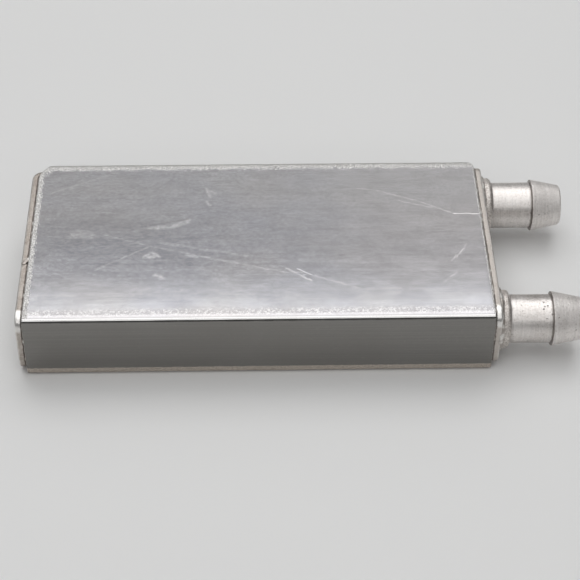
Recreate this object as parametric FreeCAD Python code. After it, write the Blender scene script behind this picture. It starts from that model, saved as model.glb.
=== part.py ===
import FreeCAD, Part
import os

# Liquid cooling block: a finned aluminium extrusion closed by two brazed end plates,
# with two turned hose tails brazed into one of them.
# Millimetres. X along the block, hose tails at +X. Z up from the base face.

# overall size
BLOCK_LENGTH = 80.0
BLOCK_WIDTH = 40.5
BLOCK_HEIGHT = 12.5

# extrusion
EDGE_RADIUS = 0.85
SIDE_WALL = 1.8
FACE_WALL = 2.0
CHANNEL_COUNT = 4
PARTITION_THICKNESS = 1.2
TURN_LENGTH = 9.0
CHANNEL_CORNER_RADIUS = 0.4

# fins along the roof and floor of each channel
FINS_PER_CHANNEL = 4
FIN_HEIGHT = 1.1
FIN_THICKNESS = 0.6

# end plates
PLATE_THICKNESS = 1.2
PLATE_INSET = 0.4
PLATE_CORNER_RADIUS = 2.2
PLATE_EDGE_CHAMFER = 0.25

# hose tails, all measured along or about their own axis
TAIL_SIDE_DISTANCE = 5.55
TAIL_LIFT = 0.25
SPIGOT_RADIUS = 3.4
BRAZE_CLEARANCE = 0.05
COLLAR_RADIUS = 4.95
COLLAR_LENGTH = 1.7
COLLAR_CHAMFER = 0.3
NECK_RADIUS = 4.1
NECK_LENGTH = 7.1
BARB_RADIUS = 4.6
BARB_LENGTH = 5.3
BARB_LAND = 0.25
TIP_RADIUS = 3.55
TIP_CHAMFER = 0.3
BORE_RADIUS = 2.75
BORE_CHAMFER = 0.3

# derived sizes
BODY_LENGTH = BLOCK_LENGTH - 2 * PLATE_THICKNESS
BODY_END = BODY_LENGTH / 2
BLOCK_END = BLOCK_LENGTH / 2
CAVITY_WIDTH = BLOCK_WIDTH - 2 * SIDE_WALL
CAVITY_HEIGHT = BLOCK_HEIGHT - 2 * FACE_WALL
CHANNEL_WIDTH = (CAVITY_WIDTH - (CHANNEL_COUNT - 1) * PARTITION_THICKNESS) / CHANNEL_COUNT
CHANNEL_PITCH = CHANNEL_WIDTH + PARTITION_THICKNESS
FIN_PITCH = CHANNEL_WIDTH / (FINS_PER_CHANNEL + 1)
PLATE_WIDTH = BLOCK_WIDTH - 2 * PLATE_INSET
PLATE_HEIGHT = BLOCK_HEIGHT - 2 * PLATE_INSET
TAIL_OFFSET = BLOCK_WIDTH / 2 - TAIL_SIDE_DISTANCE
TAIL_HEIGHT = BLOCK_HEIGHT / 2 + TAIL_LIFT

# geometry constants
X_AXIS = FreeCAD.Vector(1, 0, 0)
FULL_TURN = 360
MATCH_TOLERANCE = 0.01


def box(x0, y0, z0, length, width, height):
    return Part.makeBox(length, width, height, FreeCAD.Vector(x0, y0, z0))


def edges_along_x(shape):
    found = []
    for edge in shape.Edges:
        bounds = edge.BoundBox
        if max(bounds.YLength, bounds.ZLength) < MATCH_TOLERANCE:
            found.append(edge)
    return found


def lies_in_plane(edge, x):
    bounds = edge.BoundBox
    return max(abs(bounds.XMin - x), abs(bounds.XMax - x)) < MATCH_TOLERANCE


def channel_start(index):
    return -CAVITY_WIDTH / 2 + index * CHANNEL_PITCH


def channel_cutter(index):
    start = channel_start(index)
    cutter = box(-BODY_END, start, FACE_WALL, BODY_LENGTH, CHANNEL_WIDTH, CAVITY_HEIGHT)
    cutter = cutter.makeFillet(CHANNEL_CORNER_RADIUS, edges_along_x(cutter))
    fins = []
    for number in range(FINS_PER_CHANNEL):
        fin_start = start + (number + 1) * FIN_PITCH - FIN_THICKNESS / 2
        for fin_base in (FACE_WALL, FACE_WALL + CAVITY_HEIGHT - FIN_HEIGHT):
            fins.append(box(-BODY_END, fin_start, fin_base, BODY_LENGTH, FIN_THICKNESS, FIN_HEIGHT))
    return cutter.cut(fins)


def turn_cutter(index):
    # milled pocket that joins channel index to the next one, at alternate ends
    width = 2 * CHANNEL_WIDTH + PARTITION_THICKNESS
    at_closed_end = index % 2 == 0
    start = -BODY_END if at_closed_end else BODY_END - TURN_LENGTH
    pocket = box(start, channel_start(index), FACE_WALL, TURN_LENGTH, width, CAVITY_HEIGHT)
    return pocket.makeFillet(CHANNEL_CORNER_RADIUS, edges_along_x(pocket))


def channel_body():
    body = box(-BODY_END, -BLOCK_WIDTH / 2, 0, BODY_LENGTH, BLOCK_WIDTH, BLOCK_HEIGHT)
    body = body.makeFillet(EDGE_RADIUS, edges_along_x(body))
    cutters = [channel_cutter(index) for index in range(CHANNEL_COUNT)]
    cutters += [turn_cutter(index) for index in range(CHANNEL_COUNT - 1)]
    return body.cut(cutters)


def end_plate(x0, outer_x):
    plate = box(x0, -PLATE_WIDTH / 2, PLATE_INSET, PLATE_THICKNESS, PLATE_WIDTH, PLATE_HEIGHT)
    plate = plate.makeFillet(PLATE_CORNER_RADIUS, edges_along_x(plate))
    rim = [edge for edge in plate.Edges if lies_in_plane(edge, outer_x)]
    return plate.makeChamfer(PLATE_EDGE_CHAMFER, rim)


def port_end_plate():
    plate = end_plate(BODY_END, BLOCK_END)
    hole_radius = SPIGOT_RADIUS + BRAZE_CLEARANCE
    holes = []
    for offset in (-TAIL_OFFSET, TAIL_OFFSET):
        centre = FreeCAD.Vector(BODY_END, offset, TAIL_HEIGHT)
        holes.append(Part.makeCylinder(hole_radius, PLATE_THICKNESS, centre, X_AXIS))
    return plate.cut(holes)


def hose_tail(offset):
    collar_end = BLOCK_END + COLLAR_LENGTH
    neck_end = collar_end + NECK_LENGTH
    tip_end = neck_end + BARB_LENGTH
    outline = [
        (BODY_END, BORE_RADIUS),
        (BODY_END, SPIGOT_RADIUS),
        (BLOCK_END, SPIGOT_RADIUS),
        (BLOCK_END, COLLAR_RADIUS),
        (collar_end - COLLAR_CHAMFER, COLLAR_RADIUS),
        (collar_end, COLLAR_RADIUS - COLLAR_CHAMFER),
        (collar_end, NECK_RADIUS),
        (neck_end, NECK_RADIUS),
        (neck_end, BARB_RADIUS),
        (neck_end + BARB_LAND, BARB_RADIUS),
        (tip_end - TIP_CHAMFER, TIP_RADIUS),
        (tip_end, TIP_RADIUS - TIP_CHAMFER),
        (tip_end, BORE_RADIUS + BORE_CHAMFER),
        (tip_end - BORE_CHAMFER, BORE_RADIUS),
    ]
    points = [FreeCAD.Vector(x, offset, TAIL_HEIGHT + radius) for x, radius in outline]
    points.append(points[0])
    section = Part.Face(Part.makePolygon(points))
    return section.revolve(FreeCAD.Vector(0, offset, TAIL_HEIGHT), X_AXIS, FULL_TURN)


PARTS = {
    "channel_body": channel_body(),
    "port_end_plate": port_end_plate(),
    "closed_end_plate": end_plate(-BLOCK_END, -BLOCK_END),
    "inlet_hose_tail": hose_tail(-TAIL_OFFSET),
    "outlet_hose_tail": hose_tail(TAIL_OFFSET),
}

os.makedirs("parts", exist_ok=True)
for name, shape in PARTS.items():
    if not shape.isValid() or len(shape.Solids) != 1:
        raise RuntimeError("bad solid: " + name)
    shape.exportStep("parts/" + name + ".step")
    print(name, round(shape.Volume, 1))
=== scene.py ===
import math

import bmesh
import bpy
from mathutils import Matrix, Vector, noise


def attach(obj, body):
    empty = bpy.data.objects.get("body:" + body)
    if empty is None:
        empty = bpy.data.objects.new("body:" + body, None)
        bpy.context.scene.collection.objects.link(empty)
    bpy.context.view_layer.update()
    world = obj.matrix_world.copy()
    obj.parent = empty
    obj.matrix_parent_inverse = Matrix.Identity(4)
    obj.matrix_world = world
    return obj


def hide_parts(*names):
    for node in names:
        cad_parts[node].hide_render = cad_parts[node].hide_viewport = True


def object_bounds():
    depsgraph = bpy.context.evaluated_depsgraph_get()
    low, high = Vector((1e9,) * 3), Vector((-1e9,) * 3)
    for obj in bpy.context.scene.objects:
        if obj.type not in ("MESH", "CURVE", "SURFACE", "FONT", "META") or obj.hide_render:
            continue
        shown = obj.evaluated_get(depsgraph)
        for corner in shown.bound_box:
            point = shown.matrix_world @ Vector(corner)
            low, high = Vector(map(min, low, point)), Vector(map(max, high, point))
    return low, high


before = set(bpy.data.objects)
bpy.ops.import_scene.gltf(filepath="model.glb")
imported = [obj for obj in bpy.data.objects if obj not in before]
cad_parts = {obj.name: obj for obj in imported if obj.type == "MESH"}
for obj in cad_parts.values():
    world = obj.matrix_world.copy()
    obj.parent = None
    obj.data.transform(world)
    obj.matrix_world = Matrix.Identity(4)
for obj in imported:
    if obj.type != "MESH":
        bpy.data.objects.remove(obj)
cad_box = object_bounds()

# All sizes are millimetres in the CAD frame. Meshes are written in metres.
MM = 0.001
(BOX_LEFT, _, _), (BOX_RIGHT, BOX_BACK, BOX_TOP) = [
    [round(value / MM, 3) for value in corner] for corner in cad_box
]

# Block
BLOCK_END = -BOX_LEFT
HALF_WIDTH = BOX_BACK
WIDTH = 2 * HALF_WIDTH
HEIGHT = BOX_TOP
EDGE_RADIUS = 0.85
PLATE_THICKNESS = 1.2
BODY_END = BLOCK_END - PLATE_THICKNESS
END_ROUND = 0.16

# Channels inside the extrusion
CHANNELS = 4
SIDE_WALL = 1.8
FACE_WALL = 2.0
PARTITION = 1.2
TURN_LENGTH = 9.0
FINS = 4
FIN_HEIGHT = 1.1
FIN_THICKNESS = 0.6
CAVITY_WIDTH = WIDTH - 2 * SIDE_WALL
CHANNEL_WIDTH = (CAVITY_WIDTH - (CHANNELS - 1) * PARTITION) / CHANNELS
CHANNEL_PITCH = CHANNEL_WIDTH + PARTITION
ROOF = HEIGHT - FACE_WALL

# End plates
PLATE_INSET = 0.4
PLATE_CORNER = 2.2
PLATE_ROUND = 0.22
PLATE_WIDTH = WIDTH - 2 * PLATE_INSET
PLATE_HEIGHT = HEIGHT - 2 * PLATE_INSET

# Hose tails
TAIL_Y = HALF_WIDTH - 5.55
TAIL_Z = HEIGHT / 2 + 0.25
SPIGOT_RADIUS = 3.4
BRAZE_CLEARANCE = 0.05
COLLAR_RADIUS = 4.95
COLLAR_END = BLOCK_END + 1.7
NECK_RADIUS = 4.1
NECK_END = COLLAR_END + 7.1
BARB_RADIUS = 4.6
TIP_RADIUS = 3.55
TIP_END = BOX_RIGHT
BORE_RADIUS = 2.75

# Rear corners are worn round in plan. For the closed end (-1) and the ports' end (1): how
# deep at the corner, and where the wear starts inside the rear face and would end past it.
REAR_WEAR = {-1: (2.0, 3.5, 0.5), 1: (1.1, 1.7, 0.4)}
REAR_WEAR_LENGTH = 4.0
PLATE_WEAR = 0.95

# Marks on the top face: start and end in the face's plane, and half the width of the stroke
FAINT_LINES = [
    ((-27.4, -8.1), (-18.7, -2.4), 0.34),
    ((-26.2, 0.8), (-18.4, -2.2), 0.34),
    ((-18.4, -2.2), (-4.8, -6.4), 0.36),
    ((-4.8, -6.4), (4.7, -9.1), 0.30),
    ((-16.5, -1.4), (-2.0, -4.9), 0.45),
    ((8.9, -9.9), (12.5, -11.4), 0.30),
    ((12.5, -11.4), (16.8, -13.2), 0.28),
    ((30.5, -12.2), (33.4, -9.4), 0.24),
    ((37.1, -0.7), (38.6, -0.7), 0.20),
    ((-36.4, 12.0), (-25.0, 17.6), 0.34),
    ((-33.0, 13.0), (-29.5, 18.0), 0.28),
]
SCORES = [
    ((17.5, 12.6), (20.7, 12.1), 0.20),
    ((20.7, 12.1), (28.1, 9.0), 0.22),
    ((28.1, 9.0), (34.0, 5.6), 0.22),
    ((24.0, 9.4), (33.0, 6.4), 0.18),
    ((33.4, -5.8), (35.6, -2.5), 0.24),
    ((32.6, -6.6), (33.4, -5.2), 0.20),
    ((4.6, -8.1), (6.9, -9.9), 0.26),
    ((6.9, -9.9), (8.7, -11.2), 0.34),
    ((6.3, -9.3), (7.6, -8.9), 0.30),
    ((7.0, -10.3), (8.0, -9.6), 0.26),
]
SCRAPES = [
    ((-18.8, 2.5), (-16.4, 2.6), 0.62),
    ((-16.4, 2.7), (-14.4, 3.1), 0.60),
    ((-14.6, 3.0), (-12.4, 3.8), 0.85),
    ((-12.9, 4.2), (-11.9, 4.5), 0.50),
    ((-9.0, 12.9), (-8.4, 10.6), 0.40),
    ((-8.9, 9.4), (-8.2, 8.2), 0.40),
    ((-8.3, 12.2), (-7.3, 11.4), 0.36),
    ((-19.4, -5.2), (-19.0, -4.4), 0.40),
    ((-19.0, -4.4), (-18.1, -4.0), 0.50),
    ((-18.1, -4.0), (-17.3, -4.2), 0.55),
    ((-17.3, -4.2), (-16.8, -4.9), 0.40),
    ((-18.6, -5.0), (-17.7, -4.9), 0.60),
    ((-17.3, -9.5), (-16.1, -10.2), 0.60),
    ((-12.0, -4.3), (-10.6, -4.9), 0.60),
]
SMEARS = [((-31.4, 1.0), (-28.6, 0.8), 1.25)]
NICKS = [
    ((6.4, -8.3), (8.9, -9.9), 0.17),
    ((34.0, 5.45), (38.6, 5.35), 0.20),
]
GOUGES = [((-18.6, 3.15), (-12.2, 4.75), 0.26)]

# Colours of the metal, linear RGB
GROUND_COOL, GROUND_NEUTRAL = (0.472, 0.474, 0.515), (0.535, 0.53, 0.545)
GROUND_WARM, GROUND_WARM_END = (0.52, 0.49, 0.475), (0.64, 0.61, 0.605)
# The second colour on the next line is painted shade for the top face, not a worn tone.
GROUND_DULL, GROUND_PAINTED_SHADE = (0.36, 0.355, 0.36), (0.285, 0.288, 0.325)
# Painted reflection: a paler tone for the rear of the top face.
GROUND_REAR_SHEEN = (0.655, 0.645, 0.65)
STREAK_PALE, LINE_DARK = (0.74, 0.735, 0.75), (0.36, 0.355, 0.36)
PATCH_PALE, PATCH_DARK = (0.77, 0.765, 0.785), (0.33, 0.325, 0.33)
GRAIN_PALE, GRAIN_DARK = (0.77, 0.765, 0.78), (0.30, 0.295, 0.30)
# Painted shade: the sides' metal colours on the next line are set dark.
DRAWN_PALE_SHADED, DRAWN_DARK_SHADED = (0.250, 0.244, 0.232), (0.226, 0.221, 0.211)
DRAWN_DUST, DRAWN_STAIN = (0.38, 0.36, 0.33), (0.20, 0.190, 0.176)
FROST_DARK, FROST_PALE = (0.43, 0.42, 0.41), (0.88, 0.87, 0.85)
CAST_DARK, CAST_PALE = (0.40, 0.352, 0.305), (0.72, 0.655, 0.59)
# The second colour on the next line is a painted highlight for the front top edge.
FRONT_BAND, FRONT_EDGE_HIGHLIGHT = (0.41, 0.385, 0.38), (0.70, 0.692, 0.682)
SPARKLE, GOUGE, BARE_MARK = (0.93, 0.92, 0.91), (0.30, 0.29, 0.28), (0.92, 0.90, 0.87)
# Painted shade: both plate tones on the next line are set darker.
PLATE_DARK_SHADED, PLATE_MID_SHADED = (0.36, 0.31, 0.272), (0.50, 0.455, 0.415)
PLATE_PORTS, PLATE_SPECK = (0.62, 0.58, 0.545), (0.72, 0.69, 0.655)
# On the next line the second colour is a painted highlight for the plates' front top corner and the third a painted
# shadow for the seam's groove.
PLATE_RIM, PLATE_POLISH_HIGHLIGHT, PLATE_SEAM_SHADOW = (0.78, 0.76, 0.735), (0.86, 0.85, 0.83), (0.13, 0.11, 0.10)
TAIL_DARK, TAIL_PALE = (0.63, 0.588, 0.56), (0.80, 0.765, 0.74)
TAIL_BLASTED, TAIL_SPECK = (0.97, 0.94, 0.92), (0.94, 0.91, 0.89)
TAIL_GRIT, TAIL_TURNED = (0.38, 0.35, 0.325), (0.40, 0.38, 0.36)
COLLAR_DARK, COLLAR_PALE = (0.42, 0.38, 0.345), (0.78, 0.735, 0.695)
SOOT, PIT = (0.17, 0.145, 0.13), (0.20, 0.175, 0.155)
BRAZE_DARK, BRAZE_PALE, BRAZE_SPECK = (0.50, 0.46, 0.425), (0.80, 0.78, 0.75), (0.36, 0.33, 0.30)
FLOOR_LOW, FLOOR_HIGH = (0.80, 0.80, 0.795), (0.815, 0.815, 0.81)

# Pinhole camera solved from the block's edges in the photograph
CAMERA_PLACE = (-0.954, -226.762, 211.482)
CAMERA_YAW, CAMERA_PITCH, CAMERA_ROLL = 0.028515, 0.75058, 0.00891
FOCAL_PIXELS, PHOTO_PIXELS, SENSOR_MM = 1762.106, 580, 36.0
CAMERA_CLIP = 0.01

# Studio, in metres and watts: name, place, point it faces, width, depth and power of each lamp
WORLD_STRENGTH = 0.16
LAMPS = [
    ("key", (-0.02, 0.47, 0.75), (-0.02, 0.47, 0), 0.90, 0.56, 3.0),
    ("top", (-0.02, -0.11, 0.76), (-0.02, -0.11, 0), 0.70, 0.60, 1.9),
    ("front", (0.0, -0.56, 0.52), (0, 0, 0), 0.90, 0.42, 1.10),
    ("back", (0.0, 1.25, 0.86), (0, 0, 0), 1.80, 0.62, 1.4),
]
FLOOR_HALF = 3.0
FLOOR_GAP = 0.00002


def smoothstep(value, low, high):
    t = min(1.0, max(0.0, (value - low) / (high - low)))
    return t * t * (3 - 2 * t)


def wobble(x, y, z, size, seed=0.0):
    """Smooth noise from 0 to 1 with features of about that size in mm."""
    return 0.5 + 0.5 * noise.noise(Vector((x / size + seed, y / size - seed, z / size + 3.7 * seed)))


def rear_wear(side, y):
    """How far the rear corner on that side is worn back towards the middle, in plan."""
    depth, inside, outside = REAR_WEAR[side]
    return depth * smoothstep(y, HALF_WIDTH - inside, HALF_WIDTH + outside)


def make_object(name, points, faces, material, node=None):
    mesh = bpy.data.meshes.new(name)
    mesh.from_pydata([(x * MM, y * MM, z * MM) for x, y, z in points], [], faces)
    bm = bmesh.new()
    bm.from_mesh(mesh)
    bmesh.ops.remove_doubles(bm, verts=bm.verts, dist=0.002 * MM)
    bmesh.ops.recalc_face_normals(bm, faces=bm.faces)
    bm.to_mesh(mesh)
    bm.free()
    mesh.shade_smooth()
    mesh.materials.append(material)
    obj = bpy.data.objects.new(name, mesh)
    bpy.context.scene.collection.objects.link(obj)
    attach(obj, "root")
    if node:
        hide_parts(node)
    return obj


def sharp_by_angle(obj, degrees):
    bm = bmesh.new()
    bm.from_mesh(obj.data)
    for edge in bm.edges:
        if len(edge.link_faces) == 2 and edge.calc_face_angle() > math.radians(degrees):
            edge.smooth = False
    bm.to_mesh(obj.data)
    bm.free()


def outline(width, height, radius, along_y, along_z, corner):
    """Closed rounded rectangle about the block's middle height: (y, z, normal_y, normal_z)."""
    half_w, half_h = width / 2, height / 2
    straight_w, straight_h = half_w - radius, half_h - radius
    loop = []

    def line(y0, z0, y1, z1, ny, nz, count):
        for i in range(count):
            t = i / count
            loop.append((y0 + (y1 - y0) * t, z0 + (z1 - z0) * t, ny, nz))

    def arc(cy, cz, start):
        for i in range(corner):
            a = math.radians(start + 90 * i / corner)
            ny, nz = math.cos(a), math.sin(a)
            loop.append((cy + radius * ny, cz + radius * nz, ny, nz))

    line(-straight_w, -half_h, straight_w, -half_h, 0, -1, along_y)
    arc(straight_w, -straight_h, -90)
    line(half_w, -straight_h, half_w, straight_h, 1, 0, along_z)
    arc(straight_w, straight_h, 0)
    line(straight_w, half_h, -straight_w, half_h, 0, 1, along_y)
    arc(-straight_w, straight_h, 90)
    line(-half_w, straight_h, -half_w, -straight_h, -1, 0, along_z)
    arc(-straight_w, -straight_h, 180)
    return [(y, z + HEIGHT / 2, ny, nz) for y, z, ny, nz in loop]


def bridge(first_a, first_b, count):
    """Quads between two closed rings of count points each."""
    return [
        (first_a + i, first_a + (i + 1) % count, first_b + (i + 1) % count, first_b + i)
        for i in range(count)
    ]


def fill_between(points, faces, loops):
    """Triangulates a flat face at constant x that is bounded by loops of point indices."""
    bm = bmesh.new()
    made = {}
    edges = []
    for loop in loops:
        for index in loop:
            if index not in made:
                made[index] = bm.verts.new((0, points[index][1], points[index][2]))
        for a, b in zip(loop, loop[1:] + loop[:1]):
            edges.append(bm.edges.new((made[a], made[b])))
    back = {vert: index for index, vert in made.items()}
    bmesh.ops.triangle_fill(bm, use_beauty=True, edges=edges, normal=(1, 0, 0))
    for face in bm.faces:
        faces.append(tuple(back[v] for v in face.verts))
    bm.free()


class Nodes:
    """Short calls for a material's node tree. Coordinates are object millimetres."""

    def __init__(self, name):
        self.material = bpy.data.materials.new(name)
        self.material.use_nodes = True
        self.tree = self.material.node_tree
        self.tree.nodes.clear()
        self.output = self.tree.nodes.new("ShaderNodeOutputMaterial")
        self.shader = self.tree.nodes.new("ShaderNodeBsdfPrincipled")
        self.link(self.shader.outputs["BSDF"], self.output.inputs["Surface"])
        coords = self.tree.nodes.new("ShaderNodeTexCoord")
        self.mm = self.vector("SCALE", coords.outputs["Object"], scale=1000.0)
        split = self.tree.nodes.new("ShaderNodeSeparateXYZ")
        self.link(self.mm, split.inputs[0])
        self.x, self.y, self.z = split.outputs

    def link(self, source, target):
        self.tree.links.new(source, target)

    def put(self, value, socket):
        if isinstance(value, bpy.types.NodeSocket):
            self.link(value, socket)
        else:
            socket.default_value = value

    def vector(self, operation, a, b=None, scale=None):
        node = self.tree.nodes.new("ShaderNodeVectorMath")
        node.operation = operation
        self.put(a, node.inputs[0])
        if b is not None:
            self.put(b, node.inputs[1])
        if scale is not None:
            self.put(scale, node.inputs["Scale"])
        return node.outputs["Value" if operation in ("DOT_PRODUCT", "DISTANCE") else "Vector"]

    def math(self, operation, a, b=None, clamp=False):
        node = self.tree.nodes.new("ShaderNodeMath")
        node.operation = operation
        node.use_clamp = clamp
        self.put(a, node.inputs[0])
        if b is not None:
            self.put(b, node.inputs[1])
        return node.outputs[0]

    def most(self, *values):
        result = values[0]
        for value in values[1:]:
            result = self.math("MAXIMUM", result, value)
        return result

    def step(self, value, low, high, to_low=0.0, to_high=1.0):
        node = self.tree.nodes.new("ShaderNodeMapRange")
        node.interpolation_type = "SMOOTHSTEP"
        self.put(value, node.inputs["Value"])
        node.inputs["From Min"].default_value = low
        node.inputs["From Max"].default_value = high
        node.inputs["To Min"].default_value = to_low
        node.inputs["To Max"].default_value = to_high
        return node.outputs["Result"]

    def noise(self, scale, detail=2.0, rough=0.5, stretch=(1, 1, 1), shift=(0, 0, 0), output="Fac"):
        mapping = self.tree.nodes.new("ShaderNodeMapping")
        self.link(self.mm, mapping.inputs["Vector"])
        mapping.inputs["Scale"].default_value = stretch
        mapping.inputs["Location"].default_value = shift
        node = self.tree.nodes.new("ShaderNodeTexNoise")
        self.link(mapping.outputs[0], node.inputs["Vector"])
        node.inputs["Scale"].default_value = scale
        node.inputs["Detail"].default_value = detail
        node.inputs["Roughness"].default_value = rough
        return node.outputs[output]

    def cells(self, scale):
        node = self.tree.nodes.new("ShaderNodeTexVoronoi")
        self.link(self.mm, node.inputs["Vector"])
        node.inputs["Scale"].default_value = scale
        return node.outputs["Distance"]

    def colour(self, factor, a, b):
        node = self.tree.nodes.new("ShaderNodeMix")
        node.data_type = "RGBA"
        self.put(factor, node.inputs[0])
        for value, socket in ((a, node.inputs[6]), (b, node.inputs[7])):
            self.put(value if isinstance(value, bpy.types.NodeSocket) else (*value, 1.0), socket)
        return node.outputs[2]

    def blend(self, factor, a, b):
        node = self.tree.nodes.new("ShaderNodeMix")
        self.put(factor, node.inputs[0])
        self.put(a, node.inputs[2])
        self.put(b, node.inputs[3])
        return node.outputs[0]

    def bump(self, height, millimetres, under=None):
        node = self.tree.nodes.new("ShaderNodeBump")
        node.inputs["Strength"].default_value = 1.0
        node.inputs["Distance"].default_value = millimetres * MM
        self.put(height, node.inputs["Height"])
        if under is not None:
            self.link(under, node.inputs["Normal"])
        return node.outputs["Normal"]

    def finish(self, colour, roughness, normal, metallic=1.0):
        self.put(colour, self.shader.inputs["Base Color"])
        self.put(roughness, self.shader.inputs["Roughness"])
        self.put(metallic, self.shader.inputs["Metallic"])
        self.link(normal, self.shader.inputs["Normal"])
        return self.material

    def stroke(self, flat, start, end, width, softness):
        """1 on the line from start to end on the top face, falling to 0 at that half width in mm."""
        run = Vector((end[0] - start[0], end[1] - start[1], 0))
        offset = self.vector("SUBTRACT", flat, (start[0], start[1], 0))
        along = self.vector("DOT_PRODUCT", offset, tuple(run / run.length_squared))
        along = self.math("ADD", along, 0.0, clamp=True)
        foot = self.vector("SCALE", tuple(run), scale=along)
        away = self.vector("DISTANCE", offset, foot)
        return self.step(away, width * (1 - softness), width, 1.0, 0.0)


def body_material():
    n = Nodes("body_aluminium")
    on_top = n.step(n.z, HEIGHT - 0.42, HEIGHT - 0.30)
    on_base = n.step(n.z, 0.04, 0.16, 1.0, 0.0)
    on_face = n.most(on_top, on_base)

    # frosted border that the grinding did not reach, breaking up into specks on its inner side
    speck = n.noise(4.8, 2.0, 0.6, shift=(4, 4, 4))
    ragged = n.math("MULTIPLY", n.math("SUBTRACT", n.noise(0.8, 2.0), 0.5), 0.35)
    left = n.math("DIVIDE", n.math("ADD", n.x, BODY_END), 1.6)
    right = n.math("DIVIDE", n.math("SUBTRACT", BODY_END, n.x), 0.55)
    back = n.math("DIVIDE", n.math("SUBTRACT", HALF_WIDTH, n.y), 3.3)
    rear_left = n.math("DIVIDE", n.math("ADD", n.math("SUBTRACT", n.x, n.y), BODY_END + HALF_WIDTH), 7.2)
    nearest = n.math("MINIMUM", n.math("MINIMUM", left, right), n.math("MINIMUM", back, rear_left))
    nearest = n.math("ADD", nearest, ragged)
    frost = n.step(n.math("SUBTRACT", n.math("MULTIPLY", speck, 0.9), nearest), -0.16, -0.04)
    from_front = n.math("ADD", n.y, HALF_WIDTH)
    near_front = n.math("SUBTRACT", from_front, n.math("MULTIPLY", ragged, 0.5))
    frost = n.math("MULTIPLY", frost, n.step(from_front, 0.45, 0.75))
    # Painted highlight: the front top edge is made pale to give a white line of light along it.
    painted_edge_highlight = n.math("MULTIPLY", n.step(from_front, 0.45, 0.62, 1.0, 0.0), on_top)
    front_band = n.math("MULTIPLY", n.step(near_front, 0.42, 0.58), n.step(near_front, 1.7, 3.5, 1.0, 0.0))
    front_band = n.math("MULTIPLY", front_band, n.step(speck, 0.34, 0.62, 0.9, 0.4))
    low_edge = n.math("ADD", n.z, n.math("MULTIPLY", n.math("SUBTRACT", n.noise(2.6, 3.0, 0.65), 0.5), 0.45))
    low_band = n.step(low_edge, 1.40, 1.62, 1.0, 0.0)
    rear_side = n.step(n.y, 19.0, 19.8)
    side_frost = n.most(low_band, n.math("MULTIPLY", rear_side, n.step(n.z, 11.4, 11.8)))
    border = n.blend(on_face, side_frost, frost)
    band = n.math("MULTIPLY", front_band, on_top)

    # grinding lines on the faces, drawn lines on the sides
    streaks = n.noise(1.0, 2.0, 0.55, stretch=(0.05, 1.15, 1.15), shift=(7, 3, 1))
    lines = n.noise(1.0, 1.0, 0.5, stretch=(0.16, 2.1, 2.1))
    clouds = n.noise(0.11, 2.0, 0.5, stretch=(0.7, 1.2, 1.2), shift=(20, 5, 0))
    warmth = n.noise(0.07, 1.0, 0.5, stretch=(0.8, 1.3, 1.3), shift=(31, 15, 0))
    rearward = n.step(n.y, -18.0, -4.0)
    warm_end = n.math("MULTIPLY", n.step(n.x, 0.0, 38.0, 0.0, 0.9), rearward)
    dull_end = n.math("MULTIPLY", n.step(n.x, -38.0, 4.0, 0.30, 0.0), rearward)
    drawn = n.noise(1.0, 2.0, 0.5, stretch=(0.02, 4.0, 4.0), shift=(3, 9, 4))

    # marks on the top face, whose lines waver a little
    waver = n.vector("SUBTRACT", n.noise(0.9, 2.0, output="Color"), (0.5, 0.5, 0.5))
    shifted = n.vector("ADD", n.mm, n.vector("SCALE", waver, scale=0.55))
    flat = n.vector("MULTIPLY", shifted, (1, 1, 0))
    faint = n.most(*[n.stroke(flat, a, b, w, 0.95) for a, b, w in FAINT_LINES])
    scored = n.most(*[n.stroke(flat, a, b, w, 0.9) for a, b, w in SCORES])
    scraped = n.most(*[n.stroke(flat, a, b, w * 1.25, 0.95) for a, b, w in SCRAPES])
    smeared = n.most(*[n.stroke(flat, a, b, w, 0.7) for a, b, w in SMEARS])
    nicked = n.most(*[n.stroke(flat, a, b, w, 0.8) for a, b, w in NICKS])
    gouged = n.most(*[n.stroke(flat, a, b, w, 0.8) for a, b, w in GOUGES])
    broken = n.step(n.noise(1.3, 3.0, 0.6, shift=(11, 2, 5)), 0.34, 0.62)
    strengths = ((faint, 0.13), (scraped, 0.23), (smeared, 0.15), (scored, 0.26))
    marks = n.most(*[n.math("MULTIPLY", mask, strength) for mask, strength in strengths])
    marks = n.math("MULTIPLY", marks, n.math("ADD", n.math("MULTIPLY", broken, 0.7), 0.3))
    marks = n.math("MAXIMUM", marks, n.math("MULTIPLY", nicked, n.step(broken, 0.1, 0.9, 0.06, 0.20)))
    marks = n.math("MULTIPLY", marks, on_top)

    ground = n.colour(n.step(clouds, 0.25, 0.75), GROUND_COOL, GROUND_NEUTRAL)
    ground = n.colour(n.math("MULTIPLY", n.step(warmth, 0.42, 0.68), 0.55), ground, GROUND_WARM)
    ground = n.colour(warm_end, ground, GROUND_WARM_END)
    ground = n.colour(dull_end, ground, GROUND_DULL)
    # Painted shade, not wear: a band across the middle of the top face and its left part are darkened towards a
    # bluish grey, where the top reflects darker surroundings.
    middle = n.math("MULTIPLY", n.step(n.y, -17.0, -12.5), n.step(n.y, -5.0, 7.0, 1.0, 0.0))
    dark_left_shade = n.math("MULTIPLY", n.step(n.x, -39.0, -28.0), n.step(n.x, -18.0, 2.0, 1.0, 0.0))
    dark_left_shade = n.math("MULTIPLY", dark_left_shade, n.step(n.y, -13.0, -6.0))
    dark_left_shade = n.math("MULTIPLY", dark_left_shade, n.step(n.y, 0.0, 12.0, 1.0, 0.0))
    worn = n.math("ADD", n.math("MULTIPLY", middle, 0.34), n.math("MULTIPLY", dark_left_shade, 0.28))
    ground = n.colour(worn, ground, GROUND_PAINTED_SHADE)
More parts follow.
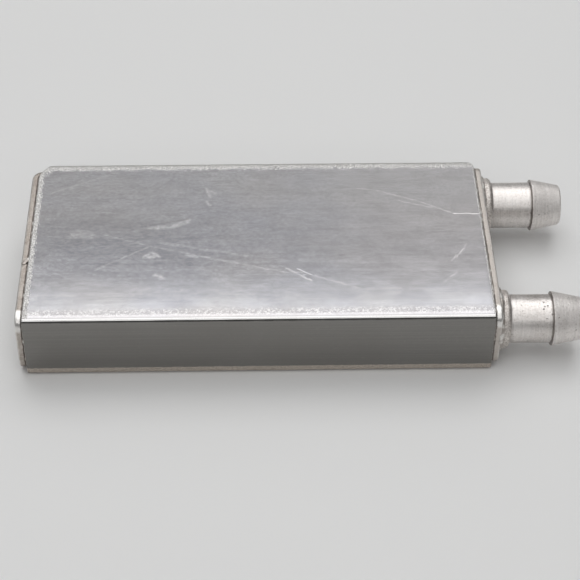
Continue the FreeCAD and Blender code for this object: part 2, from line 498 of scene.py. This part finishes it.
    # Painted reflection: the rear of the top face is made paler, more so towards the right, where it reflects the
    # lamps.
    pale_rear_sheen = n.math("MULTIPLY", n.step(n.y, 3.0, 13.0), n.step(n.x, -30.0, 36.0, 0.25, 0.65))
    ground = n.colour(pale_rear_sheen, ground, GROUND_REAR_SHEEN)
    mottle = n.noise(0.9, 3.0, 0.6, stretch=(0.6, 1.0, 1.0), shift=(3, 17, 5))
    ground = n.colour(n.step(streaks, 0.28, 0.72, 0.0, 0.09), ground, STREAK_PALE)
    patches = n.noise(0.30, 3.0, 0.6, stretch=(0.7, 1.2, 1.2), shift=(17, 4, 2))
    ground = n.colour(n.step(patches, 0.36, 0.66, 0.0, 0.13), ground, PATCH_PALE)
    ground = n.colour(n.step(patches, 0.34, 0.56, 0.11, 0.0), ground, PATCH_DARK)
    ground = n.colour(n.step(mottle, 0.30, 0.70, 0.0, 0.12), ground, STREAK_PALE)
    ground = n.colour(n.step(lines, 0.28, 0.72, 0.12, 0.0), ground, LINE_DARK)
    grain = n.noise(1.7, 3.0, 0.65, stretch=(0.62, 1.0, 1.0), shift=(14, 2, 7))
    grit = n.noise(2.7, 2.0, 0.6, stretch=(0.7, 1.0, 1.0), shift=(1, 22, 3))
    coarse = n.math("MULTIPLY", n.step(n.y, -18.0, -5.0, 0.45, 1.0), n.step(n.x, -10.0, 25.0, 1.0, 0.6))
    ground = n.colour(n.math("MULTIPLY", n.step(grain, 0.34, 0.68, 0.0, 0.20), coarse), ground, GRAIN_PALE)
    ground = n.colour(n.math("MULTIPLY", n.step(grit, 0.34, 0.62, 0.20, 0.0), coarse), ground, GRAIN_DARK)
    dust = n.noise(2.6, 2.0, 0.6, stretch=(0.5, 1.0, 1.0), shift=(12, 6, 9))
    # Painted shade: the sides' metal is set dark to stand for the dark surroundings their smooth faces reflect; the
    # dust and stain mixed in are their own colour.
    shaded_side_colour = n.colour(n.step(drawn, 0.3, 0.7), DRAWN_PALE_SHADED, DRAWN_DARK_SHADED)
    shaded_side_colour = n.colour(n.step(dust, 0.56, 0.74, 0.0, 0.22), shaded_side_colour, DRAWN_DUST)
    shaded_side_colour = n.colour(n.step(warmth, 0.40, 0.66, 0.0, 0.30), shaded_side_colour, DRAWN_STAIN)
    surface = n.colour(on_face, shaded_side_colour, ground)
    frosted = n.colour(n.step(speck, 0.42, 0.64), FROST_DARK, FROST_PALE)
    cast = n.colour(n.step(speck, 0.38, 0.64), CAST_DARK, CAST_PALE)
    border_colour = n.colour(n.most(on_top, rear_side), cast, frosted)
    surface = n.colour(border, surface, border_colour)
    surface = n.colour(n.math("MULTIPLY", band, 0.8), surface, FRONT_BAND)
    sparkle = n.math("MULTIPLY", n.step(near_front, 0.9, 1.3), n.step(near_front, 1.9, 3.0, 1.0, 0.0))
    glints = n.noise(2.3, 3.0, 0.65, shift=(9, 1, 6))
    sparkle = n.math("MULTIPLY", sparkle, n.step(glints, 0.46, 0.64, 0.0, 0.58))
    sparkle = n.math("MULTIPLY", sparkle, on_top)
    surface = n.colour(sparkle, surface, SPARKLE)
    # Painted highlight along the front top edge.
    surface = n.colour(painted_edge_highlight, surface, FRONT_EDGE_HIGHLIGHT)
    surface = n.colour(n.math("MULTIPLY", gouged, n.math("MULTIPLY", on_top, 0.35)), surface, GOUGE)
    surface = n.colour(marks, surface, BARE_MARK)

    rough = n.blend(on_face, n.step(drawn, 0.3, 0.7, 0.13, 0.17), n.step(streaks, 0.3, 0.7, 0.118, 0.134))
    rough = n.blend(band, rough, 0.27)
    rough = n.blend(sparkle, rough, 0.45)
    rough = n.blend(border, rough, 0.50)
    rough = n.blend(marks, rough, 0.42)

    swell = n.math("MULTIPLY", n.noise(0.16, 1.0, shift=(6, 8, 2)), on_face)
    normal = n.bump(swell, 0.016)
    bare = n.math("SUBTRACT", 1.0, border)
    grooves = n.blend(on_face, n.math("MULTIPLY", drawn, 1.6), streaks)
    normal = n.bump(n.math("MULTIPLY", grooves, bare), 0.0006, normal)
    normal = n.bump(n.math("MULTIPLY", n.noise(3.4, 3.0, 0.6, shift=(2, 2, 2)), border), 0.05, normal)
    normal = n.bump(n.math("SUBTRACT", 1.0, n.math("MULTIPLY", nicked, on_top)), 0.006, normal)
    return n.finish(surface, rough, normal)


def plate_material():
    n = Nodes("plate_aluminium")
    # distance along the block, following the worn rear corners
    along = n.math("ABSOLUTE", n.x)
    for side, (depth, inside, outside) in REAR_WEAR.items():
        worn = n.step(n.y, HALF_WIDTH - inside, HALF_WIDTH + outside, 0.0, PLATE_WEAR * depth)
        here = n.step(n.x, -1.0, 1.0, 0.0 if side > 0 else 1.0, 1.0 if side > 0 else 0.0)
        along = n.math("ADD", along, n.math("MULTIPLY", worn, here))
    # Painted shadow: the plate is darkened next to the body, in the groove at the seam.
    seam_edge = n.math("ADD", along, n.math("MULTIPLY", n.noise(1.4, 3.0, 0.6), 0.42))
    seam = n.step(seam_edge, BODY_END + 0.42, BODY_END + 0.56, 1.0, 0.0)
    # The front top corner of each plate is glossier, and its colour is made pale as a painted highlight where light
    # catches it.
    corner = n.math("SUBTRACT", n.z, n.y)
    corner = n.step(corner, 28.9, 29.7)
    rim = n.math("MULTIPLY", n.noise(1.1, 2.0, shift=(8, 2, 1)), 0.3)
    rim = n.step(n.math("SUBTRACT", along, rim), BLOCK_END - 0.50, BLOCK_END - 0.28)
    stain = n.noise(0.45, 4.0, 0.6)
    speck = n.noise(3.4, 3.0, 0.65)
    # Painted shade: both base tones of the plates are set darker to stand for dark reflections in their faces; the
    # stain noise varies the tone between them at random.
    metal = n.colour(n.step(stain, 0.3, 0.7), PLATE_DARK_SHADED, PLATE_MID_SHADED)
    metal = n.colour(n.step(n.x, -1.0, 1.0, 0.0, 0.6), metal, PLATE_PORTS)
    metal = n.colour(n.step(speck, 0.44, 0.68, 0.0, 0.45), metal, PLATE_SPECK)
    metal = n.colour(n.math("MULTIPLY", rim, 0.6), metal, PLATE_RIM)
    # Painted highlight on the plates' front top corner, on top of its gloss.
    metal = n.colour(n.math("MULTIPLY", corner, 0.75), metal, PLATE_POLISH_HIGHLIGHT)
    # Painted shadow in the seam's groove.
    metal = n.colour(n.math("MULTIPLY", seam, 0.75), metal, PLATE_SEAM_SHADOW)
    rough = n.blend(n.step(speck, 0.3, 0.7), 0.40, 0.56)
    rough = n.blend(n.math("MAXIMUM", rim, corner), rough, 0.30)
    normal = n.bump(n.noise(2.0, 3.0, 0.55), 0.06)
    return n.finish(metal, rough, normal)


def tail_material():
    n = Nodes("tail_aluminium")
    ragged = n.math("MULTIPLY", n.math("SUBTRACT", n.noise(1.6, 3.0, 0.6, shift=(5, 5, 1)), 0.5), 0.35)
    from_step = n.math("ABSOLUTE", n.math("ADD", n.math("SUBTRACT", n.x, NECK_END - 0.08), ragged))
    from_collar = n.math("ABSOLUTE", n.math("ADD", n.math("SUBTRACT", n.x, COLLAR_END + 0.15), ragged))
    soot = n.most(n.step(from_step, 0.04, 0.26, 0.60, 0.0), n.step(from_collar, 0.05, 0.45, 0.22, 0.0))
    blasted = n.step(n.x, NECK_END - 0.1, NECK_END + 0.1)
    blasted = n.most(blasted, n.step(n.x, COLLAR_END - 0.3, COLLAR_END + 0.4, 1.0, 0.0))
    stain = n.noise(0.30, 4.0, 0.6, shift=(2, 7, 1))
    speck = n.noise(3.0, 3.0, 0.65, shift=(3, 3, 6))
    turned = n.noise(1.0, 2.0, 0.5, stretch=(3.2, 0.25, 0.25), shift=(1, 4, 8))
    pits = n.step(n.cells(1.05), 0.06, 0.20, 1.0, 0.0)
    pits = n.math("MULTIPLY", pits, n.step(n.noise(0.45, 1.0, shift=(9, 9, 2)), 0.50, 0.62))
    metal = n.colour(n.step(stain, 0.3, 0.72), TAIL_DARK, TAIL_PALE)
    metal = n.colour(n.math("MULTIPLY", blasted, 0.35), metal, TAIL_BLASTED)
    metal = n.colour(n.step(speck, 0.36, 0.66, 0.0, 0.45), metal, TAIL_SPECK)
    metal = n.colour(n.step(speck, 0.28, 0.42, 0.45, 0.0), metal, TAIL_GRIT)
    metal = n.colour(n.step(turned, 0.35, 0.65, 0.18, 0.0), metal, TAIL_TURNED)
    on_collar = n.step(n.x, COLLAR_END - 0.25, COLLAR_END + 0.05, 1.0, 0.0)
    cast = n.colour(n.step(speck, 0.36, 0.62), COLLAR_DARK, COLLAR_PALE)
    metal = n.colour(n.math("MULTIPLY", on_collar, 0.75), metal, cast)
    metal = n.colour(soot, metal, SOOT)
    metal = n.colour(n.math("MULTIPLY", pits, 0.65), metal, PIT)
    rough = n.blend(blasted, n.step(stain, 0.3, 0.7, 0.36, 0.44), 0.52)
    coarse = n.math("MULTIPLY", speck, n.blend(blasted, 0.5, 1.0))
    normal = n.bump(coarse, 0.075)
    normal = n.bump(n.math("SUBTRACT", 1.0, pits), 0.06, normal)
    return n.finish(metal, rough, normal)


def braze_material():
    n = Nodes("braze_metal")
    speck = n.noise(3.5, 4.0, 0.65)
    stain = n.noise(0.9, 2.0, 0.5, shift=(3, 1, 2))
    metal = n.colour(n.step(stain, 0.4, 0.62), BRAZE_DARK, BRAZE_PALE)
    metal = n.colour(n.step(speck, 0.32, 0.46, 0.5, 0.0), metal, BRAZE_SPECK)
    rough = n.blend(n.step(speck, 0.3, 0.7), 0.36, 0.54)
    return n.finish(metal, rough, n.bump(speck, 0.06))


def floor_material():
    n = Nodes("floor_pale")
    tint = n.colour(n.noise(0.02, 2.0), FLOOR_LOW, FLOOR_HIGH)
    return n.finish(tint, n.blend(n.noise(0.05, 2.0), 0.55, 0.62), n.bump(n.noise(1.5, 3.0), 0.01), 0.0)


BODY_METAL = body_material()
PLATE_METAL = plate_material()
TAIL_METAL = tail_material()
BRAZE_METAL = braze_material()



def channel_start(index):
    return -CAVITY_WIDTH / 2 + index * CHANNEL_PITCH


def fin_spans(index):
    pitch = CHANNEL_WIDTH / (FINS + 1)
    for number in range(FINS):
        middle = channel_start(index) + (number + 1) * pitch
        yield middle - FIN_THICKNESS / 2, middle + FIN_THICKNESS / 2


def channel_loop(index):
    """Section of one finned channel, as (y, z) points."""
    start, end = channel_start(index), channel_start(index) + CHANNEL_WIDTH
    low, high = FACE_WALL + FIN_HEIGHT, ROOF - FIN_HEIGHT
    floor_points, roof_points = [(start, FACE_WALL)], []
    for a, b in fin_spans(index):
        floor_points += [(a, FACE_WALL), (a, low), (b, low), (b, FACE_WALL)]
        roof_points += [(a, ROOF), (a, high), (b, high), (b, ROOF)]
    return floor_points + [(end, FACE_WALL), (end, ROOF)] + roof_points[::-1] + [(start, ROOF)]


def pocket_loop(index):
    start = channel_start(index)
    end = start + 2 * CHANNEL_WIDTH + PARTITION
    return [(start, FACE_WALL), (end, FACE_WALL), (end, ROOF), (start, ROOF)]


def body_stations():
    near_end = [0.0, 0.05, 0.11, 0.2, 0.35, 0.6, 0.9, 1.3, 1.7, 2.1, 2.6, 3.1, 3.6]
    middle = BODY_END - near_end[-1]
    count = 150
    stations = [-(BODY_END - d) for d in near_end]
    stations += [-middle + 2 * middle * i / count for i in range(1, count)]
    stations += [BODY_END - d for d in near_end[::-1]]
    return stations


def build_body():
    points, faces, rings = [], [], []
    size = None
    for x in body_stations():
        depth = BODY_END - abs(x)
        short = max(0.0, END_ROUND - depth)
        inset = END_ROUND - math.sqrt(END_ROUND ** 2 - short ** 2)
        loop = outline(WIDTH - 2 * inset, HEIGHT - 2 * inset, EDGE_RADIUS - inset, 80, 22, 9)
        size = len(loop)
        rings.append(len(points))
        for y, z, ny, nz in loop:
            # rear corners are worn round in plan
            pull = rear_wear(-1 if x < 0 else 1, y) * smoothstep(abs(x), BODY_END - REAR_WEAR_LENGTH, BODY_END)
            fillet = min(1.0, 4 * abs(ny * nz) + (0.35 if depth < 0.5 else 0.0))
            dent = 0.010 * wobble(x, y, z, 11.0) + 0.035 * fillet * wobble(x, y, z, 1.3, 5.0)
            dent += 0.03 * fillet * wobble(x, y, z, 4.0, 2.0)
            if depth < 0.25:
                pull += 0.05 * wobble(0, y, z, 0.9, 3.0)
            px = math.copysign(abs(x) - pull, x)
            points.append((px, y - ny * dent, z - nz * dent))
    for a, b in zip(rings, rings[1:]):
        faces += bridge(a, b, size)

    def wall(loop, x0, x1):
        first = len(points)
        count = len(loop)
        points.extend((x0, y, z) for y, z in loop)
        points.extend((x1, y, z) for y, z in loop)
        faces.extend(bridge(first, first + count, count))
        return list(range(first, first + count)), list(range(first + count, first + 2 * count))

    turn = BODY_END - TURN_LENGTH
    left, right = [], []
    for index in (0, 2):
        left.append(wall(pocket_loop(index), -BODY_END, -turn)[0])
    for index in range(CHANNELS):
        end = turn if index in (1, 2) else BODY_END
        loops = wall(channel_loop(index), -turn, end)
        if end == BODY_END:
            right.append(loops[1])
    right.append(wall(pocket_loop(1), turn, BODY_END)[1])

    def cap(x, y0, y1, z0, z1):
        first = len(points)
        points.extend([(x, y0, z0), (x, y1, z0), (x, y1, z1), (x, y0, z1)])
        faces.append((first, first + 1, first + 2, first + 3))

    for x, channels, partitions in ((-turn, (0, 1, 2, 3), (0, 2)), (turn, (1, 2), (1,))):
        for index in channels:
            for a, b in fin_spans(index):
                cap(x, a, b, FACE_WALL, FACE_WALL + FIN_HEIGHT)
                cap(x, a, b, ROOF - FIN_HEIGHT, ROOF)
        for index in partitions:
            start = channel_start(index) + CHANNEL_WIDTH
            cap(x, start, start + PARTITION, FACE_WALL, ROOF)

    fill_between(points, faces, [list(range(rings[0], rings[0] + size))] + left)
    fill_between(points, faces, [list(range(rings[-1], rings[-1] + size))] + right)
    obj = make_object("body_extrusion", points, faces, BODY_METAL, "channel_body")
    sharp_by_angle(obj, 50)
    return obj


def fill_columns(points, faces, ring):
    """Fills a ring that is the same above and below its middle with upright columns of quads."""
    size = len(ring)
    middle = sum(points[i][2] for i in ring) / size
    start = min(range(size), key=lambda i: (points[ring[i]][1], abs(points[ring[i]][2] - middle)))
    lower = [ring[(start + k) % size] for k in range(size // 2 + 1)]
    upper = [ring[(start - k) % size] for k in range(size // 2 + 1)]
    rows = 8
    columns = []
    for low, high in zip(lower, upper):
        column = [low]
        if low != high:
            a, b = Vector(points[low]), Vector(points[high])
            for j in range(1, rows):
                column.append(len(points))
                points.append(tuple(a.lerp(b, j / rows)))
            column.append(high)
        columns.append(column)
    for a, b in zip(columns, columns[1:]):
        if len(a) == 1 or len(b) == 1:
            tip, fan = (a[0], b) if len(a) == 1 else (b[0], a)
            faces.extend((tip, fan[j], fan[j + 1]) for j in range(len(fan) - 1))
        else:
            faces.extend((a[j], b[j], b[j + 1], a[j + 1]) for j in range(rows))


def build_plate(name, side, node):
    """side is +1 for the plate that holds the tails and -1 for the closed one."""
    points, faces, rings = [], [], []
    # rings from the seam to the face: (place along the block, inset of the outline)
    seam_steps = ((0.0, 0.22), (0.10, 0.12), (0.24, 0.03), (0.40, 0.0), (0.55, 0.0), (0.72, 0.0))
    sections = [(BODY_END + step, inset) for step, inset in seam_steps]
    for i in range(1, 7):
        a = math.radians(15 * i)
        sections.append((BLOCK_END - PLATE_ROUND + PLATE_ROUND * math.sin(a), PLATE_ROUND * (1 - math.cos(a))))
    sections += [(BLOCK_END, PLATE_ROUND + inward) for inward in (0.25, 0.6, 0.9, 1.2)]
    size = None
    for x, inset in sections:
        loop = outline(PLATE_WIDTH - 2 * inset, PLATE_HEIGHT - 2 * inset, PLATE_CORNER - inset, 90, 20, 14)
        size = len(loop)
        rings.append(len(points))
        for y, z, ny, nz in loop:
            rim = smoothstep(x, BODY_END, BODY_END + 0.4)
            dent = (0.045 * wobble(side * x, y, z, 2.2, 1.0) + 0.03 * wobble(side * x, y, z, 0.8, 6.0)) * rim
            face_dent = 0.025 * wobble(side * 40, y, z, 2.6, 8.0) * smoothstep(x, BLOCK_END - 0.3, BLOCK_END)
            face_dent *= smoothstep(inset, PLATE_ROUND + 0.8, PLATE_ROUND + 0.3)
            worn = PLATE_WEAR * rear_wear(side, y)
            points.append((side * (x - face_dent - worn), y - ny * dent, z - nz * dent))
    for a, b in zip(rings, rings[1:]):
        faces += bridge(a, b, size)
    outer = [list(range(rings[-1], rings[-1] + size))]
    inner = [list(range(rings[0], rings[0] + size))]
    if side > 0:
        hole = SPIGOT_RADIUS + BRAZE_CLEARANCE
        for y in (-TAIL_Y, TAIL_Y):
            first = len(points)
            count = 64
            for x in (BODY_END, BLOCK_END):
                for i in range(count):
                    a = 2 * math.pi * i / count
                    points.append((x, y + hole * math.cos(a), TAIL_Z + hole * math.sin(a)))
            faces += bridge(first, first + count, count)
            inner.append(list(range(first, first + count)))
            outer.append(list(range(first + count, first + 2 * count)))
    if side > 0:
        fill_between(points, faces, outer)
    else:
        fill_columns(points, faces, outer[0])
    fill_between(points, faces, inner)
    obj = make_object(name, points, faces, PLATE_METAL, node)
    sharp_by_angle(obj, 60)
    return obj


def arc_profile(cx, cr, radius, start, end, steps):
    found = []
    for i in range(steps + 1):
        a = math.radians(start + (end - start) * i / steps)
        found.append((cx + radius * math.cos(a), cr + radius * math.sin(a)))
    return found


def tail_profile():
    """Section of a hose tail from the spigot to the tip and back through the bore: (x, radius)."""
    profile = [(BODY_END, BORE_RADIUS), (BODY_END, SPIGOT_RADIUS)]
    profile += [(BLOCK_END, SPIGOT_RADIUS), (BLOCK_END, COLLAR_RADIUS)]
    profile += [(BLOCK_END + 0.35 * i, COLLAR_RADIUS) for i in range(1, 3)]
    profile += arc_profile(COLLAR_END - 0.62, COLLAR_RADIUS - 0.62, 0.62, 90, 20, 8)
    profile += arc_profile(COLLAR_END + 0.24, NECK_RADIUS + 0.24, 0.24, 190, 270, 5)
    profile += [(COLLAR_END + 0.5 + 0.4 * i, NECK_RADIUS - 0.03 * math.sin(math.pi * i / 15)) for i in range(16)]
    profile += [(NECK_END - 0.12, NECK_RADIUS), (NECK_END - 0.02, NECK_RADIUS - 0.02), (NECK_END, NECK_RADIUS + 0.05)]
    profile += arc_profile(NECK_END + 0.10, BARB_RADIUS - 0.10, 0.10, 180, 80, 4)
    start_x, start_r = NECK_END + 0.25, BARB_RADIUS - 0.02
    end_x, end_r = TIP_END - 0.45, TIP_RADIUS + 0.06
    profile += [(start_x + (end_x - start_x) * i / 12, start_r + (end_r - start_r) * i / 12) for i in range(13)]
    profile += arc_profile(TIP_END - 0.42, TIP_RADIUS - 0.36, 0.42, 78, 0, 6)
    profile += [(TIP_END, BORE_RADIUS + 0.28), (TIP_END - 0.12, BORE_RADIUS + 0.08), (TIP_END - 0.35, BORE_RADIUS)]
    profile += [(TIP_END - 0.35 - i * (TIP_END - 0.35 - BODY_END) / 8, BORE_RADIUS) for i in range(1, 8)]
    return profile


def build_tail(name, centre_y, node, seed):
    profile = tail_profile()
    around = 144
    points, faces = [], []
    for x, r in profile:
        for i in range(around):
            a = 2 * math.pi * i / around
            ry, rz = math.cos(a), math.sin(a)
            outer = 1.0 if r > BORE_RADIUS + 0.3 and x > BLOCK_END + 0.01 else 0.0
            edge = 1.0 if r > BARB_RADIUS - 0.12 and x > COLLAR_END + 2 else 0.35
            collar = smoothstep(x, COLLAR_END + 0.5, COLLAR_END - 0.3)
            lumps = 0.05 * edge * wobble(x, r * ry, r * rz, 0.9, seed + 4)
            lumps += 0.12 * collar * wobble(x, r * ry, r * rz, 1.4, seed + 6)
            dent = outer * (0.03 * wobble(x, r * ry, r * rz, 3.0, seed) + lumps)
            points.append((x, centre_y + (r - dent) * ry, TAIL_Z + (r - dent) * rz))
    count = len(profile)
    for j in range(count):
        faces += bridge(j * around, ((j + 1) % count) * around, around)
    obj = make_object(name, points, faces, TAIL_METAL, node)
    sharp_by_angle(obj, 55)
    return obj


def bead(name, path, steps=10):
    """Closed bead. path holds (x, y, z, ny, nz, radius): centre, outward direction and size."""
    points, faces = [], []
    for x, y, z, ny, nz, radius in path:
        for i in range(steps):
            a = 2 * math.pi * i / steps
            out, along = radius * math.cos(a), radius * math.sin(a)
            points.append((x + along, y + ny * out, z + nz * out))
    count = len(path)
    for j in range(count):
        faces += bridge(j * steps, ((j + 1) % count) * steps, steps)
    return make_object(name, points, faces, BRAZE_METAL)


def build_seam_bead(name, side, seed):
    path = []
    loop = outline(PLATE_WIDTH - 0.16, PLATE_HEIGHT - 0.16, PLATE_CORNER, 150, 40, 24)
    for y, z, ny, nz in loop:
        thick = wobble(side * 30, y, z, 1.3, seed)
        fine = wobble(side * 30, y, z, 0.5, seed + 3)
        radius = 0.02 + 0.13 * smoothstep(thick, 0.54, 0.72) + 0.03 * fine
        path.append((side * (BODY_END + 0.05 - PLATE_WEAR * rear_wear(side, y)), y, z, ny, nz, radius))
    return bead(name, path, 8)


def build_collar_bead(name, centre_y, seed, drop):
    path = []
    count = 200
    for i in range(count):
        a = 2 * math.pi * i / count
        ny, nz = math.cos(a), math.sin(a)
        thick = wobble(3 * ny, 3 * nz, centre_y, 1.5, seed)
        radius = 0.26 + 0.42 * thick + 0.12 * wobble(3 * ny, 3 * nz, centre_y, 0.6, seed + 2)
        gap = abs((a - drop + math.pi) % (2 * math.pi) - math.pi)
        radius += 0.28 * math.exp(-(gap / 0.10) ** 2)
        reach = COLLAR_RADIUS - 0.18
        path.append((BLOCK_END + 0.02, centre_y + reach * ny, TAIL_Z + reach * nz, ny, nz, radius))
    return bead(name, path, 10)


def build_blob(name, start, end, width, height, seed):
    """A small smeared lump of braze lying between two points."""
    rows, columns = 26, 24
    a, b = Vector(start), Vector(end)
    run = b - a
    side = Vector((-run.y, run.x, 0)).normalized()
    points, faces = [], []
    for i in range(rows + 1):
        t = i / rows
        swell = math.sqrt(max(0.0, 1 - (2 * t - 1) ** 4))
        centre = a + run * t
        for j in range(columns):
            angle = 2 * math.pi * j / columns
            lump = 0.75 + 0.5 * wobble(centre.x, centre.y + math.cos(angle), centre.z, 0.6, seed)
            offset = side * (width * swell * lump * math.cos(angle))
            points.append(tuple(centre + offset + Vector((0, 0, height * swell * lump * math.sin(angle)))))
    for i in range(rows):
        faces += bridge(i * columns, (i + 1) * columns, columns)
    faces.append(tuple(range(columns)))
    faces.append(tuple(range(rows * columns, (rows + 1) * columns)))
    return make_object(name, points, faces, BRAZE_METAL)


build_body()
build_plate("plate_closed", -1, "closed_end_plate")
build_plate("plate_ports", 1, "port_end_plate")
build_tail("tail_inlet", -TAIL_Y, "inlet_hose_tail", 2.0)
build_tail("tail_outlet", TAIL_Y, "outlet_hose_tail", 7.0)
build_seam_bead("seam_closed", -1, 1.0)
build_seam_bead("seam_ports", 1, 9.0)
build_collar_bead("collar_braze_inlet", -TAIL_Y, 3.0, math.radians(232))
build_collar_bead("collar_braze_outlet", TAIL_Y, 5.0, math.radians(250))
build_blob("rim_smear", (-38.5, -4.7, 12.30), (-39.82, -6.1, 12.12), 0.42, 0.16, 4.0)
build_blob("corner_drop", (-38.82, -19.86, 7.5), (-38.98, -19.80, 7.1), 0.14, 0.16, 2.0)


def build_floor():
    mesh = bpy.data.meshes.new("floor")
    corners = [(x * FLOOR_HALF, y * FLOOR_HALF, 0) for x, y in ((-1, -1), (1, -1), (1, 1), (-1, 1))]
    mesh.from_pydata(corners, [], [(0, 1, 2, 3)])
    mesh.materials.append(floor_material())
    obj = bpy.data.objects.new("floor", mesh)
    bpy.context.scene.collection.objects.link(obj)
    obj.location.z = -FLOOR_GAP


def area_light(name, position, target, width, height, power):
    data = bpy.data.lights.new(name, "AREA")
    data.shape = "RECTANGLE"
    data.size = width
    data.size_y = height
    data.energy = power
    obj = bpy.data.objects.new(name, data)
    obj.location = position
    obj.rotation_euler = (Vector(target) - Vector(position)).to_track_quat("-Z", "Y").to_euler()
    bpy.context.scene.collection.objects.link(obj)


def build_world(strength):
    world = bpy.data.worlds.new("studio")
    bpy.context.scene.world = world
    world.use_nodes = True
    background = world.node_tree.nodes["Background"]
    background.inputs["Color"].default_value = (1.0, 1.0, 1.0, 1.0)
    background.inputs["Strength"].default_value = strength


def build_camera():
    yaw, pitch, roll = CAMERA_YAW, CAMERA_PITCH, CAMERA_ROLL
    forward = Vector((math.sin(yaw) * math.cos(pitch), math.cos(yaw) * math.cos(pitch), -math.sin(pitch)))
    level = Vector((math.cos(yaw), -math.sin(yaw), 0))
    upright = level.cross(forward)
    right = math.cos(roll) * level + math.sin(roll) * upright
    up = -math.sin(roll) * level + math.cos(roll) * upright
    data = bpy.data.cameras.new("camera")
    data.sensor_width = SENSOR_MM
    data.lens = FOCAL_PIXELS / PHOTO_PIXELS * SENSOR_MM
    data.clip_start = CAMERA_CLIP
    obj = bpy.data.objects.new("camera", data)
    matrix = Matrix((right, up, -forward)).transposed().to_4x4()
    matrix.translation = Vector(CAMERA_PLACE) * MM
    obj.matrix_world = matrix
    bpy.context.scene.collection.objects.link(obj)
    bpy.context.scene.camera = obj


build_floor()
build_world(WORLD_STRENGTH)
for lamp in LAMPS:
    area_light(*lamp)
build_camera()
bpy.context.scene.view_settings.view_transform = "Standard"
